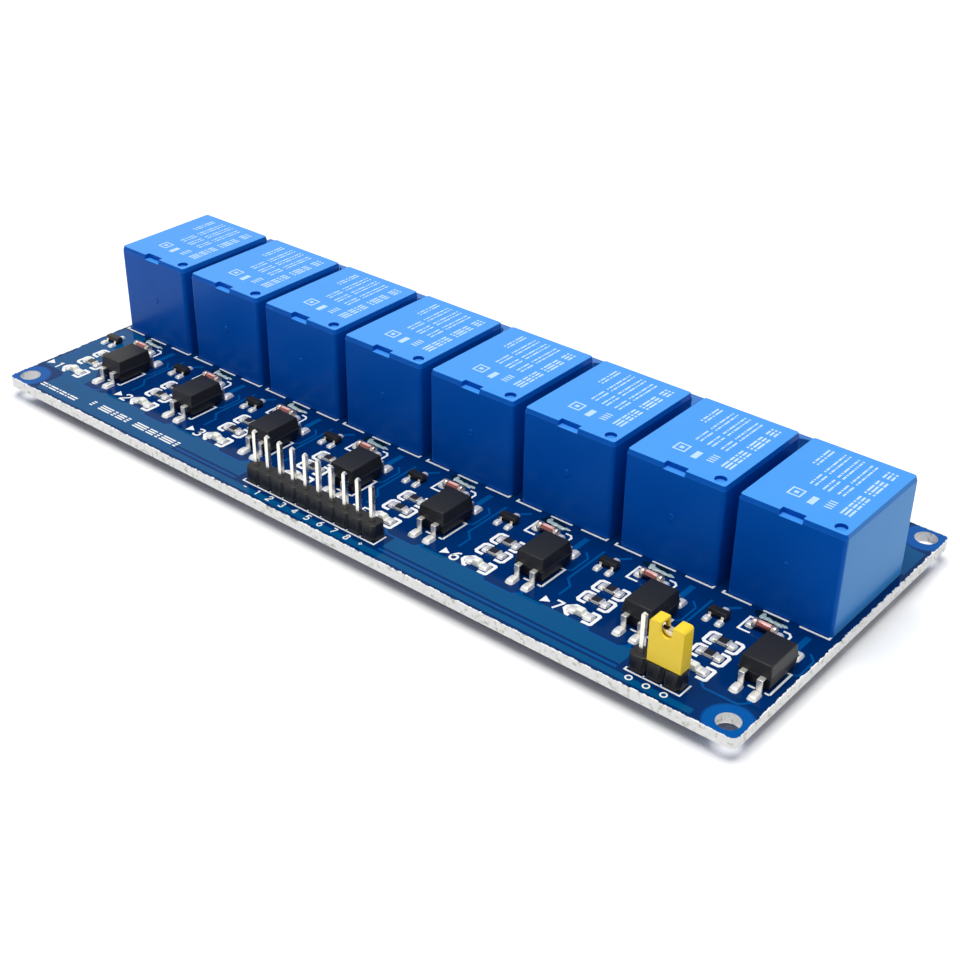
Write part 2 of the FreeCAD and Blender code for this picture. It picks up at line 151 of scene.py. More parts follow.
def node(tree, kind, settings=None, sockets=None):
    """Add one shader node with its settings, and give each socket a value or link it to a node or an output.

    A node that is given for a socket stands for the first of its outputs that is in use.
    """
    made = tree.nodes.new(kind)
    for key, value in (settings or {}).items():
        setattr(made, key, value)
    for key, value in (sockets or {}).items():
        if isinstance(value, bpy.types.Node):
            value = next(output for output in value.outputs if output.enabled)
        if isinstance(value, bpy.types.NodeSocket):
            tree.links.new(value, made.inputs[key])
        else:
            made.inputs[key].default_value = value
    return made


# Settings of a node that mixes two colours, and of a range with soft ends
COLOURS = {"data_type": "RGBA"}
SOFT_ENDS = {"interpolation_type": "SMOOTHSTEP"}


def start_material(name):
    """New material with an empty node tree, what adds a node to it, and its object coordinates."""
    material = bpy.data.materials.new(name)
    material.use_nodes = True
    material.node_tree.nodes.clear()
    add = partial(node, material.node_tree)
    return material, add, add("ShaderNodeTexCoord").outputs["Object"]


def moulded(name, colour, shade, roughness, grain_mm, bump_um, tint="#ffffff", coat=0.0, level=0.5):
    """Moulded plastic: one colour that drifts a little, with a fine grain left by the mould."""
    material, add, place = start_material(name)
    drift = add("ShaderNodeTexNoise", sockets={"Vector": place, "Scale": 160.0, "Detail": 3.0})
    mix = add("ShaderNodeMix", COLOURS, {0: drift, 6: linear(colour), 7: linear(shade)})
    grain = add("ShaderNodeTexNoise", sockets={"Vector": place, "Scale": 1000.0 / grain_mm, "Detail": 2.0})
    rough = add("ShaderNodeMapRange", sockets={
        "Value": grain, "To Min": roughness * 0.8, "To Max": roughness * 1.2})
    bump = add("ShaderNodeBump", sockets={"Height": grain, "Distance": bump_um * 1e-6, "Strength": 0.6})
    shader = add("ShaderNodeBsdfPrincipled", sockets={
        "Base Color": mix, "Roughness": rough, "Normal": bump, "Specular Tint": linear(tint),
        "Specular IOR Level": level, "Coat Weight": coat, "Coat Roughness": 0.05})
    add("ShaderNodeOutputMaterial", sockets={"Surface": shader})
    return material


def plated(name, colour, shade, roughness, grain_mm, bump_um, metallic=1.0):
    """Plated or tinned metal: cloudy from dull to bright, with a fine uneven surface."""
    material, add, place = start_material(name)
    cloud = add("ShaderNodeTexNoise", sockets={
        "Vector": place, "Scale": 1000.0 / grain_mm, "Detail": 4.0, "Roughness": 0.6})
    mix = add("ShaderNodeMix", COLOURS, {0: cloud, 6: linear(colour), 7: linear(shade)})
    rough = add("ShaderNodeMapRange", sockets={
        "Value": cloud, "To Min": roughness * 0.7, "To Max": roughness * 1.4})
    bump = add("ShaderNodeBump", sockets={"Height": cloud, "Distance": bump_um * 1e-6, "Strength": 0.7})
    shader = add("ShaderNodeBsdfPrincipled", sockets={
        "Base Color": mix, "Metallic": metallic, "Roughness": rough, "Normal": bump})
    add("ShaderNodeOutputMaterial", sockets={"Surface": shader})
    return material


def relay_plastic():
    """Relay case of glossy blue ABS: satin on its printed top, polished on its sides.

    Its top is a far lighter blue than its sides: painted light, standing in for the light on the top and the
    shade on the sides. The two end faces of the row get a painted blue sheen over their polish, standing in
    for the light that falls on them. It sets in within the last millimetre of the row, on what faces along
    it.
    """
    material, add, place = start_material("relay_case_abs")
    normal = add("ShaderNodeNewGeometry").outputs["True Normal"]
    upward = add("ShaderNodeSeparateXYZ", sockets={0: normal}).outputs["Z"]
    on_top = add("ShaderNodeMapRange", SOFT_ENDS, {"Value": upward, "From Min": 0.3, "From Max": 0.95})
    # Painted sheen on the two end faces of the row, standing in for the light that falls on them
    row_end = CENTRES[-1] + RELAY_W / 2
    shares = []
    for vector, low, high in (
            (place, (row_end - PAINTED_SHEEN_FROM) * MM, (row_end - PAINTED_SHEEN_TO) * MM), (normal, 0.5, 0.95)):
        part = add("ShaderNodeVectorMath", {"operation": "ABSOLUTE"}, {0: vector})
        part = add("ShaderNodeSeparateXYZ", sockets={0: part}).outputs["X"]
        shares.append(add("ShaderNodeMapRange", sockets={"Value": part, "From Min": low, "From Max": high}))
    painted_end_sheen = add("ShaderNodeMath", {"operation": "MULTIPLY"}, dict(enumerate(shares)))
    drift = add("ShaderNodeTexNoise", sockets={"Vector": place, "Scale": 140.0, "Detail": 3.0})
    # Painted light: the top's blue is far lighter than the sides', for the light on the top and the shade on
    # the sides
    top = add("ShaderNodeMix", COLOURS, {0: drift, 6: linear("#4aa0f6"), 7: linear("#4299f0")})
    side = add("ShaderNodeMix", COLOURS, {0: drift, 6: linear("#0058c0"), 7: linear("#0050b2")})
    colour = add("ShaderNodeMix", COLOURS, {0: on_top, 6: side, 7: top})
    grain = add("ShaderNodeTexNoise", sockets={"Vector": place, "Scale": 5000.0, "Detail": 2.0})
    rough = add("ShaderNodeMapRange", sockets={"Value": on_top, "To Min": 0.25, "To Max": 0.26})
    depth = add("ShaderNodeMapRange", sockets={"Value": on_top, "To Min": 0.15, "To Max": 1.0})
    height = add("ShaderNodeMath", {"operation": "MULTIPLY"}, {0: grain, 1: depth})
    bump = add("ShaderNodeBump", sockets={"Height": height, "Distance": 2.5e-6})
    shader = add("ShaderNodeBsdfPrincipled", sockets={
        "Base Color": colour, "Roughness": rough, "Normal": bump, "Specular Tint": (0.3, 0.85, 1.0, 1.0),
        "Specular IOR Level": 0.15, "Sheen Weight": painted_end_sheen, "Sheen Roughness": 0.45,
        "Sheen Tint": (0.16, 0.66, 1.0, 1.0)})
    add("ShaderNodeOutputMaterial", sockets={"Surface": shader})
    return material


def board_material(name, deep, light, bright):
    """Glass-fibre board: glossy blue mask on both faces, and a rough pale cut edge round it and in its holes.

    The mask is brighter in a ring round each mounting hole, where no copper lies under it. Its rim is chipped
    as far in from the cut as a noise from 0 to 1 times RIM_RAGGED, less RIM_SOUND.
    """
    material, add, place = start_material(name)
    normal = add("ShaderNodeNewGeometry").outputs["True Normal"]
    upward = add("ShaderNodeSeparateXYZ", sockets={0: normal}).outputs["Z"]
    flat = add("ShaderNodeMath", {"operation": "ABSOLUTE"}, {0: upward})
    on_face = add("ShaderNodeMath", {"operation": "GREATER_THAN"}, {0: flat, 1: 0.5})
    drift = add("ShaderNodeTexNoise", sockets={"Vector": place, "Scale": 70.0, "Detail": 4.0})
    mask = add("ShaderNodeMix", COLOURS, {0: drift, 6: linear(deep), 7: linear(light)})
    folded = add("ShaderNodeVectorMath", {"operation": "ABSOLUTE"}, {0: place})
    hole = ((BOARD_L / 2 - MOUNT_HOLE_INSET) * MM, (BOARD_W / 2 - MOUNT_HOLE_INSET) * MM, 0.0)
    offset = add("ShaderNodeVectorMath", {"operation": "SUBTRACT"}, {0: folded, 1: hole})
    offset = add("ShaderNodeVectorMath", {"operation": "MULTIPLY"}, {0: offset, 1: (1, 1, 0)})
    distance = add("ShaderNodeVectorMath", {"operation": "LENGTH"}, {0: offset})
    ring = add("ShaderNodeMapRange", SOFT_ENDS, {
        "Value": distance, "From Min": BARE_RING_END_R * MM, "From Max": BARE_RING_R * MM})
    mask = add("ShaderNodeMix", COLOURS, {0: ring, 6: mask, 7: linear(bright)})
    weave = add("ShaderNodeTexNoise", sockets={
        "Vector": place, "Scale": 1100.0, "Detail": 5.0, "Roughness": 0.7})
    torn = add("ShaderNodeMapRange", sockets={"Value": weave, "From Min": 0.33, "From Max": 0.47})
    edge = add("ShaderNodeMix", COLOURS, {0: torn, 6: linear("#c8cab8"), 7: linear("#ffffff")})
    corner = (BOARD_L / 2 * MM, BOARD_W / 2 * MM, 0.0)
    inside = add("ShaderNodeVectorMath", {"operation": "SUBTRACT"}, {0: folded, 1: corner})
    inside = add("ShaderNodeSeparateXYZ", sockets={0: inside})
    nearest = add("ShaderNodeMath", {"operation": "MAXIMUM"}, {
        0: inside.outputs["X"], 1: inside.outputs["Y"]})
    ragged = add("ShaderNodeMath", {"operation": "MULTIPLY_ADD"}, {
        0: weave, 1: RIM_RAGGED * MM, 2: nearest})
    whole = add("ShaderNodeMath", {"operation": "LESS_THAN"}, {0: ragged, 1: RIM_SOUND * MM})
    masked = add("ShaderNodeMath", {"operation": "MULTIPLY"}, {0: on_face, 1: whole})
    colour = add("ShaderNodeMix", COLOURS, {0: masked, 6: edge, 7: mask})
    rough = add("ShaderNodeMapRange", sockets={"Value": masked, "To Min": 0.8, "To Max": 0.07})
    depth = add("ShaderNodeMapRange", sockets={"Value": masked, "To Min": 1.0, "To Max": 0.008})
    height = add("ShaderNodeMath", {"operation": "MULTIPLY"}, {0: weave, 1: depth})
    bump = add("ShaderNodeBump", sockets={"Height": height, "Distance": 0.0002})
    shader = add("ShaderNodeBsdfPrincipled", sockets={
        "Base Color": colour, "Roughness": rough, "Normal": bump,
        "Specular Tint": (0.05, 0.8, 1.0, 1.0), "Specular IOR Level": 0.09})
    add("ShaderNodeOutputMaterial", sockets={"Surface": shader})
    return material


def diode_glass():
    """Red glass tube of the diode: a painted highlight makes it pale on top, and painted shade dark below; it
    is dark at its ends, where the metal slugs in it show.

    The distance to the tube's middle is the place along X, wrapped into one channel.
    """
    material, add, place = start_material("diode_glass")
    normal = add("ShaderNodeNewGeometry").outputs["Normal"]
    upward = add("ShaderNodeSeparateXYZ", sockets={0: normal}).outputs["Z"]
    along = add("ShaderNodeSeparateXYZ", sockets={0: place}).outputs["X"]
    start = DIODE_X * MM
    wrapped = add("ShaderNodeMath", {"operation": "WRAP"}, {
        0: along, 1: start + CHANNEL_PITCH * MM, 2: start})
    offset = add("ShaderNodeMath", {"operation": "SUBTRACT"}, {0: wrapped, 1: start + CHANNEL_PITCH / 2 * MM})
    distance = add("ShaderNodeMath", {"operation": "ABSOLUTE"}, {0: offset})
    body = linear("#200505")
    # Each colour comes over the body as a value goes from low to high, or leaves it free there: the first row
    # brings the red in towards the top over painted shade below, the second is a painted highlight on the
    # top, and the third the dark slugs at the ends
    for value, low, high, first, second in (
            (upward, 0.0, 0.75, None, linear("#97352c")),
            (upward, 0.8, 0.99, None, linear("#ffcabe")),
            (distance, 0.0012, 0.0006, linear("#3a100c"), None)):
        share = add("ShaderNodeMapRange", SOFT_ENDS, {"Value": value, "From Min": low, "From Max": high})
        body = add("ShaderNodeMix", COLOURS, {0: share, 6: first or body, 7: second or body})
    swirl = add("ShaderNodeTexNoise", sockets={"Vector": place, "Scale": 900.0, "Detail": 2.0})
    bump = add("ShaderNodeBump", sockets={"Height": swirl, "Distance": 1e-5})
    shader = add("ShaderNodeBsdfPrincipled", sockets={
        "Base Color": body, "Roughness": 0.12, "Normal": bump, "Coat Weight": 1.0, "Coat Roughness": 0.05})
    add("ShaderNodeOutputMaterial", sockets={"Surface": shader})
    return material


# Pad-printed ink, thin and matt, a little see-through, so that it looks pale blue more than white
RELAY_INK = moulded("pad_print_ink", "#c8e6fd", "#b2d8fb", 0.5, 0.12, 4.0)
# Polished ABS of the relays, with a painted lighter top and painted sheen on the row's end faces: see
# relay_plastic
RELAY_BLUE = relay_plastic()
# Moulded polyamide, satin, with a soft grain
TERMINAL_BLUE = moulded("terminal_polyamide", "#0a74cc", "#086cc0", 0.34, 0.2, 3.0)
# Epoxy moulding compound of the chips, near black with a dull bloom
MOULDING_BLACK = moulded("epoxy_moulding_compound", "#1f1f22", "#18181b", 0.42, 0.12, 4.0, level=0.36)
# The same compound where the mould halves met, in a lighter grey that is a painted highlight along the seam
FLASH_PAINTED_HIGHLIGHT = moulded("mould_flash_painted_highlight", "#3c3d41", "#2e2f33", 0.5, 0.12, 4.0)
# Glass-filled polyester of the pin strips, black and slightly shiny
HEADER_BLACK = moulded("header_polyester", "#131316", "#0d0d0f", 0.36, 0.15, 3.0)
# Yellow polyester of the cap, smooth with soft highlights
CAP_YELLOW = moulded("cap_polyester", "#ffe030", "#ffd820", 0.3, 0.2, 2.0)
# Screen-printed epoxy ink, opaque white and a little rough
SILK_WHITE = moulded("silk_screen_ink", "#ffffff", "#f4f8f8", 0.55, 0.12, 5.0)
# Matt tin over copper alloy, pale and cloudy
TIN = plated("tin_plate", "#fffcf4", "#dedbd4", 0.34, 0.8, 5.0, 0.75)
# Bright drawn tin on the header pins: its faces mirror the floor or the dark board
PIN_TIN = plated("bright_tin_plate", "#fbf9f2", "#e2dfd6", 0.16, 0.9, 3.0)
# Solder under a film of clear flux, nearly white, with an uneven skin
SOLDER = plated("solder_joint", "#ffffff", "#efeeea", 0.3, 0.45, 14.0, 0.42)
# Bright zinc on the clamping screws
ZINC = plated("zinc_plate", "#e4e5e7", "#a9adb2", 0.32, 0.6, 4.0)
# Nickel over brass, with a warm cast
NICKEL = plated("nickel_plated_brass", "#efe6d2", "#bdb39a", 0.28, 0.6, 4.0)
# Dull tin on the diode's end caps, with a warm cast
DIODE_CAP = plated("diode_end_cap", "#e6dad0", "#a89a90", 0.3, 0.4, 4.0, 0.8)
# Glass tube of the diode over its copper-red innards, with painted shade and a painted highlight: see
# diode_glass
DIODE_GLASS = diode_glass()
# Glassy black film on the resistors
CHIP_BLACK = moulded("resistor_film", "#2c2d30", "#1a1b1d", 0.3, 0.2, 3.0)
# White alumina under that film
CHIP_CERAMIC = moulded("resistor_ceramic", "#f4f2ea", "#e0ddd4", 0.5, 0.1, 3.0)
# Cast resin lens of the lights over a white base
CHIP_WHITE = moulded("chip_light_lens", "#fffff6", "#f4f7ea", 0.2, 0.3, 2.0, coat=0.6)
# Dried flux resin at the relays' feet. Its wet-looking film is near black: painted shade at the relay's foot
# and a painted reflection of the dark relay front. Its teal-grey ridges are lightened towards white as a
# painted highlight.
RESIN_FILM_PAINTED_DARK = moulded("flux_resin_painted_dark", "#020c1c", "#062a3c", 0.08, 0.7, 14.0, "#20d0ff", level=0.2)
RESIN_RIDGE_PAINTED_HIGHLIGHT = moulded("flux_resin_ridge_painted_highlight", "#7fa3a8", "#dcebe8", 0.08, 0.45, 22.0, coat=1.0)
# Laminate with mask: see board_material
BOARD_MASK = board_material("solder_mask_on_glass_fibre", "#00265e", "#003270", "#0056a6")
# Mask over copper, a lighter and greener blue than over bare laminate
POUR_MASK = moulded("solder_mask_on_copper", "#004c80", "#00548a", 0.07, 0.6, 0.6, "#20d0ff", level=0.11)
# Mask over a narrow track, which stands out a little more
TRACK_MASK = moulded("solder_mask_on_track", "#00549a", "#004c8e", 0.08, 0.6, 0.8, "#20d0ff", level=0.11)


# Angles in degrees: edges sharper than these are rounded on a CAD form, or shaded as sharp on a new one
EDGE_ANGLE = 30
SHARP_ANGLE = 40

CORNER_STEPS = 6
DOME_POINTS = 9


def join(forms):
    """One list of points and one of faces from several forms."""
    points = []
    faces = []
    start = 0
    for form_points, form_faces in forms:
        points.append(np.asarray(form_points, float))
        faces += [tuple(i + start for i in face) for face in form_faces]
        start += len(form_points)
    return np.concatenate(points), faces


def add_object(name, data):
    """New object in the scene, from its data."""
    thing = bpy.data.objects.new(name, data)
    bpy.context.scene.collection.objects.link(thing)
    return thing


def form_mesh(name, form):
    """Mesh in metres from a form, which is its points in mm and its faces."""
    points, faces = form
    mesh = bpy.data.meshes.new(name)
    mesh.from_pydata((points * MM).tolist(), [], [tuple(int(i) for i in face) for face in faces])
    return mesh


def rest_on_root(piece):
    """Tie a finished piece to the board."""
    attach(piece, "root")


def make_piece(name, forms, material, smooth=True, replaces=(), rounded=()):
    """One piece from several forms, joined in one mesh, with its edges rounded as round_edges is told."""
    mesh = form_mesh(name, join(forms))
    mesh.update()
    if smooth:
        mesh.shade_smooth()
        mesh.set_sharp_from_angle(angle=math.radians(SHARP_ANGLE))
    mesh.materials.append(material)
    piece = add_object(name, mesh)
    rest_on_root(piece)
    if replaces:
        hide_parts(*replaces)
    if rounded:
        round_edges(piece, *rounded)


def weld(mesh):
    """Merge a mesh's doubled points and melt its flat triangles together."""
    work = bmesh.new()
    work.from_mesh(mesh)
    bmesh.ops.remove_doubles(work, verts=work.verts, dist=2e-6)
    bmesh.ops.dissolve_limit(work, angle_limit=math.radians(1), verts=work.verts, edges=work.edges)
    work.to_mesh(mesh)
    work.free()


def round_edges(piece, width, segments=2, angle=EDGE_ANGLE):
    """Round the sharp edges of a piece to a width in mm."""
    bevel = piece.modifiers.new("rounded edges", "BEVEL")
    bevel.width = width * MM
    bevel.segments = segments
    bevel.limit_method = "ANGLE"
    bevel.angle_limit = math.radians(angle)
    even = piece.modifiers.new("flat faces stay even", "WEIGHTED_NORMAL")
    even.keep_sharp = True


def softened(cad_node, name, material, width, segments=2):
    """Piece with the form of a CAD node and rounded edges, which stands for that node."""
    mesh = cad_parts[cad_node].data.copy()
    mesh.name = name
    weld(mesh)
    mesh.materials.clear()
    mesh.materials.append(material)
    mesh.shade_smooth()
    piece = add_object(name, mesh)
    round_edges(piece, width, segments)
    mesh.set_sharp_from_angle(angle=math.radians(EDGE_ANGLE))
    rest_on_root(piece)
    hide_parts(cad_node)


def shift(form, x=0.0, y=0.0, z=0.0):
    """A form moved by a step."""
    points, faces = form
    return points + [x, y, z], faces


def at_channels(forms):
    """Copies of one channel's forms at every channel."""
    return [shift(form, x) for x in CENTRES for form in forms]


def wall_faces(rows, sides, closed=False):
    """Faces of a wall whose points go round in like rows, from its foot to its top.

    A closed wall goes on from its last row to its first, and an open one has a face over each end.
    """
    index = np.arange(rows * sides).reshape(rows, sides)
    above = np.roll(index, -1, 0)
    if not closed:
        index = index[:-1]
        above = above[:-1]
    faces = np.stack([index, np.roll(index, -1, 1), np.roll(above, -1, 1), above], -1).reshape(-1, 4)
    faces = [tuple(face) for face in faces]
    return faces if closed else faces + [tuple(above[-1]), tuple(index[0][::-1])]


def upright_shell(half_x, y0, y1, corner, profile):
    """Box with round upright edges whose wall follows a profile of (inset, height) pairs from foot to top.

    Every upright edge is a quarter circle about a fixed centre line. At each height its radius is the corner
    radius less the inset there, so the wall moves in by the inset all round.
    """
    angle = np.linspace(0, math.pi / 2, CORNER_STEPS + 1)
    centres = [(half_x - corner, y1 - corner), (corner - half_x, y1 - corner),
               (corner - half_x, y0 + corner), (half_x - corner, y0 + corner)]
    points = []
    for inset, z in profile:
        radius = corner - inset
        for turn, (x, y) in enumerate(centres):
            way = angle + turn * math.pi / 2
            points.append(np.column_stack([
                x + radius * np.cos(way), y + radius * np.sin(way), np.full(len(way), z)]))
    return np.concatenate(points), wall_faces(len(profile), 4 * len(angle))


def ring_form(profile, sides):
    """Form turned about Z from a profile of (radius, height) pairs, from the foot to the top."""
    profile = np.asarray(profile, float)
    angle = np.arange(sides) * 2 * math.pi / sides
    points = np.stack([
        profile[:, :1] * np.cos(angle),
        profile[:, :1] * np.sin(angle),
        np.repeat(profile[:, 1:], sides, 1),
    ], -1)
    return points.reshape(-1, 3), wall_faces(len(profile), sides)


def prism_form(outline, z0, z1):
    """Upright prism over an outline of (x, y) points that goes round anticlockwise."""
    outline = np.asarray(outline, float)
    points = [np.column_stack([outline, np.full(len(outline), z)]) for z in (z0, z1)]
    return np.concatenate(points), wall_faces(2, len(outline))


def band(path, width, z0, z1, closed=False):
    """Flat band of one width along a path, with mitred corners and a square section.

    Each point of the path gets the mean of its two neighbouring directions, turned by a right angle and
    lengthened by one over the cosine of half the bend, and the band's two sides lie half its width along it.
    """
    path = np.asarray(path, float)
    step = np.diff(path, axis=0)
    if closed:
        step = np.vstack([step, path[0] - path[-1]])
    step /= np.linalg.norm(step, axis=1, keepdims=True)
    before = np.roll(step, 1, 0) if closed else np.vstack([step[:1], step])
    after = step if closed else np.vstack([step, step[-1:]])
    mean = before + after
    mean /= np.linalg.norm(mean, axis=1, keepdims=True)
    stretch = np.maximum((mean * after).sum(1, keepdims=True), 0.3)
    side = np.column_stack([-mean[:, 1], mean[:, 0]]) * width / 2 / stretch
    left = path + side
    right = path - side
    levels = [(right, z0), (left, z0), (left, z1), (right, z1)]
    points = np.stack([np.column_stack([line, np.full(len(path), z)]) for line, z in levels], 1)
    return points.reshape(-1, 3), wall_faces(len(path), 4, closed)


def box_form(x0, x1, y0, y1, z0, z1):
    """Plain block, used to cut others and for small chips."""
    return prism_form([(x0, y0), (x1, y0), (x1, y1), (x0, y1)], z0, z1)


def loose_object(name, form):
    """Object that only serves to make another one, with its doubled points merged and its faces outwards."""
    mesh = form_mesh(name, form)
    work = bmesh.new()
    work.from_mesh(mesh)
    bmesh.ops.remove_doubles(work, verts=work.verts, dist=1e-6)
    bmesh.ops.dissolve_degenerate(work, edges=work.edges, dist=1e-7)
    bmesh.ops.recalc_face_normals(work, faces=work.faces)
    work.to_mesh(mesh)
    work.free()
    return add_object(name, mesh)


def carved(form, cutters):
    """A form with other forms cut out of it."""
    body = loose_object("body", form)
    knives = [loose_object("knife", cutter) for cutter in cutters]
    for knife in knives:
        cut = body.modifiers.new("cut", "BOOLEAN")
        cut.operation = "DIFFERENCE"
        cut.solver = "EXACT"
        cut.object = knife
    bpy.context.view_layer.update()
    graph = bpy.context.evaluated_depsgraph_get()
    result = bpy.data.meshes.new_from_object(body.evaluated_get(graph))
    points = np.empty(len(result.vertices) * 3)
    result.vertices.foreach_get("co", points)
    faces = [tuple(face.vertices) for face in result.polygons]
    for thing in [body] + knives:
        bpy.data.objects.remove(thing)
    bpy.data.meshes.remove(result)
    return points.reshape(-1, 3) / MM, faces


def dome(x, y, half_x, half_y, height):
    """Low mound on a pad of the board, such as a solder joint on a chip's end.

    Over u and v from -1 to 1 across the pad, the height is that of the middle times the square root of
    (1 - u^4)(1 - v^4), and the pad's corners are pulled in by an eighth.
    """
    line = np.linspace(-1, 1, DOME_POINTS)
    u, v = np.meshgrid(line, line, indexing="ij")
    rise = np.sqrt(np.clip((1 - u ** 4) * (1 - v ** 4), 0, 1))
    pull = 1 - 0.125 * (u * v) ** 2
    points = np.stack([x + half_x * u * pull, y + half_y * v * pull, BOARD_T + height * rise], -1)
    index = np.arange(u.size).reshape(u.shape)
    faces = np.stack([index[:-1, :-1], index[1:, :-1], index[1:, 1:], index[:-1, 1:]], -1).reshape(-1, 4)
    rim = np.concatenate([index[:-1, 0], index[-1, :-1], index[:0:-1, -1], index[0, :0:-1]])
    return points.reshape(-1, 3), [tuple(face) for face in faces] + [tuple(rim[::-1])]


# Relays
def make_relays():
    """Eight like cases: a steep lip all round the top, a latch recess in its front, a vent and a gate mark.

    The wall's profile goes up to the lip's foot, in along the lip, and round into the top.
    """
    lip = RELAY_TOP - RELAY_LIP
    profile = [(0.0, BOARD_T), (0.0, lip - 0.05), (0.03, lip), (RELAY_LIP_IN, RELAY_TOP - 0.1),
               (RELAY_LIP_IN + 0.03, RELAY_TOP - 0.03), (RELAY_LIP_IN + 0.1, RELAY_TOP)]
    shell = upright_shell(RELAY_W / 2, RELAY_FRONT, RELAY_BACK, RELAY_CORNER_R, profile)
    latch = box_form(LATCH_X - LATCH_W / 2, LATCH_X + LATCH_W / 2, RELAY_FRONT - 1, RELAY_FRONT + LATCH_DEPTH,
                     RELAY_TOP - LATCH_DROP, RELAY_TOP + 1)
    vent = ring_form([(VENT_R, 0), (VENT_R, VENT_DEPTH + 1)], 32)
    case = carved(shell, [latch, shift(vent, VENT_X, VENT_Y, RELAY_TOP - VENT_DEPTH)])
    points, faces = ring_form([(0.42, 0.0), (0.36, 0.06), (0.16, 0.07), (0.1, 0.03)], 14)
    gate = (np.column_stack([points[:, 0], RELAY_FRONT - points[:, 2], points[:, 1] * 1.6 + GATE_Z]), faces)
    for number, x in enumerate(CENTRES, 1):
        make_piece(f"relay_case_{number}", [shift(case, x), shift(gate, x + 0.1)], RELAY_BLUE,
                   replaces=[f"relay_{number}"], rounded=(0.05, 2, 45))


# Rows of plain marks on the relays' tops: their middle from the relay's centre line, their height, and their
# start and end from the relay's front; a digit is a stack of short bars of that length, and a blank is a gap
TOP_PRINT = (
    ("1213", -3.9, 0.9, 12.6, 17.3),
    ("213 1213211", -1.6, 1.0, 7.9, 17.5),
    ("312 2131121", 0.35, 1.0, 7.7, 17.5),
    ("213 1221312", 2.35, 1.0, 7.9, 17.3),
    ("3212 132 21", 5.0, 1.5, 4.1, 17.3),
)
TALL_ROW = 1.2


def mark_row(pattern, middle, height, start, end, stroke):
    """Row of stacked bars as straight paths, with the way along the row first in each point.

    The row has as many units as its digits and gaps add up to, and each stack leaves under half a unit free.
    A tall row has three bars to a stack, and a low one two.
    """
    lengths = [int(sign) if sign != " " else 1 for sign in pattern]
    unit = (end - start) / sum(lengths)
    levels = np.linspace(-1, 1, 3 if height > TALL_ROW else 2) * (height - stroke) / 2 + middle
    paths = []
    place = start
    for sign, length in zip(pattern, lengths):
        if sign != " ":
            ends = (place + 0.2 * unit, place + (length - 0.2) * unit)
            paths += [[(along, level) for along in ends] for level in levels]
        place += length * unit
    return paths


def relay_top_print():
    """Rows of bars, a small box, a block and a short scale in the place of one relay's printed marks."""
    lines = []
    for pattern, middle, height, start, end in TOP_PRINT:
        stroke = 0.28 if height < TALL_ROW else 0.32
        lines += [(path, stroke, False) for path in mark_row(pattern, middle, height, start, end, stroke)]
    lines.append(([(4.25, -3.1), (5.95, -3.1), (5.95, -1.4), (4.25, -1.4)], 0.24, True))
    lines.append(([(4.8, -2.25), (5.4, -2.25)], 0.6, False))
    lines.append(([(3.7, 0.35), (5.6, 0.35)], 0.9, False))
    lines += [([(along, 2.0), (along, 3.1)], 0.24, False) for along in (4.4, 4.95, 5.5, 6.05)]
    forms = []
    for path, width, closed in lines:
        path = [(across, RELAY_FRONT + along) for along, across in path[::-1]]
        forms.append(band(path, width, INK_Z0, INK_Z1, closed))
    return forms


make_relays()
make_piece("relay_top_print", at_channels(relay_top_print()), RELAY_INK, smooth=False)

# Board
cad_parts["circuit_board"].data.materials.clear()
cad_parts["circuit_board"].data.materials.append(BOARD_MASK)

# Pieces that keep the CAD form, with their edges rounded
for number in range(1, CHANNELS + 1):
    softened(f"optocoupler_{number}", f"opto_body_{number}", MOULDING_BLACK, 0.12)
    softened(f"transistor_{number}", f"transistor_body_{number}", MOULDING_BLACK, 0.06)
    softened(f"indicator_led_{number}", f"light_body_{number}", CHIP_WHITE, 0.08)
softened("optocoupler_leads", "opto_lead_set", TIN, 0.06)
softened("transistor_leads", "transistor_lead_set", TIN, 0.03)
softened("control_header", "control_header_strip", HEADER_BLACK, 0.1, 3)
softened("jumper_header", "jumper_header_strip", HEADER_BLACK, 0.1, 3)
softened("control_header_pins", "control_pin_set", PIN_TIN, 0.05)
softened("jumper_header_pins", "jumper_pin_set", PIN_TIN, 0.05)
softened("jumper_clip", "jumper_clip_leaf", NICKEL, 0.04)
softened("relay_pins", "relay_pin_set", TIN, 0.06)
softened("terminal_contacts", "terminal_cage_set", NICKEL, 0.06)


def opto_flash_line():
    """Thin flash line left by the mould round an optocoupler, at the height of its leads."""
    seam = BOARD_T + OPTO_SEAM
    corners = np.array([(-1, -1), (1, -1), (1, 1), (-1, 1)]) * (OPTO_HALF_W, OPTO_HALF_L) + (OPTO_X, OPTO_Y)
    return band(corners, 0.1, seam - 0.045, seam + 0.045, True)


# The flash lines' lighter grey is a painted highlight along the seam
make_piece("opto_flash_lines", at_channels([opto_flash_line()]), FLASH_PAINTED_HIGHLIGHT, smooth=False)


